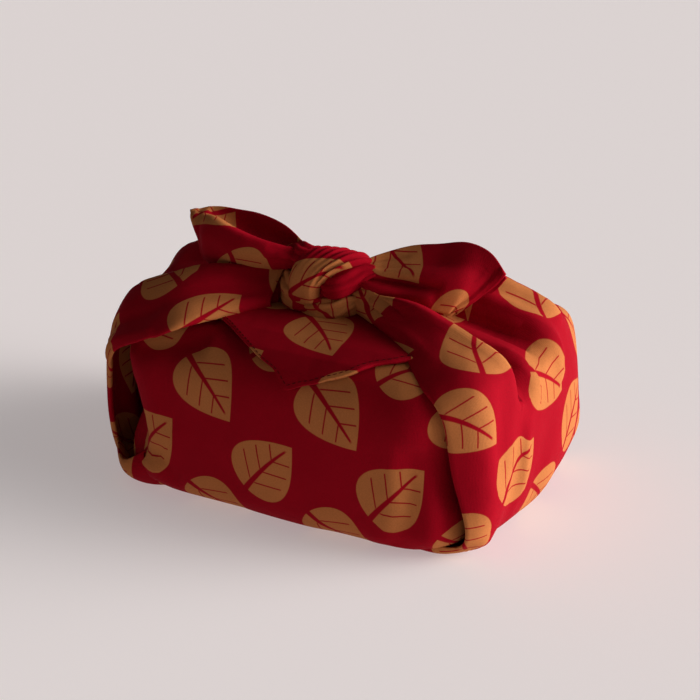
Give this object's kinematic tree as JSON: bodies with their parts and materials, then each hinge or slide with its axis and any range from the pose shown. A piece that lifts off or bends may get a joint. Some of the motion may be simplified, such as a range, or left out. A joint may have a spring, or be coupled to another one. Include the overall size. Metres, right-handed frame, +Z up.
{
  "type": "furoshiki wrap, tied round a parcel",
  "caption": "Square printed cotton cloth folded round a low box shape and tied on top in a square knot with two free ears.",
  "frame": {"origin": "on the surface the parcel stands on, under the middle of the box that holds the whole cloth", "axes": "+Z up, +X along the parcel to the end on the viewer's right, -Y towards the side where the folded tip shows"},
  "size_m": [0.181, 0.125, 0.1076],
  "materials": {
    "printed_cotton": "matt plain-weave cotton, crimson ground with an ochre leaf print"
  },
  "bodies": {
    "root": {"furoshiki_cloth": "printed_cotton"}
  },
  "joints": []
}
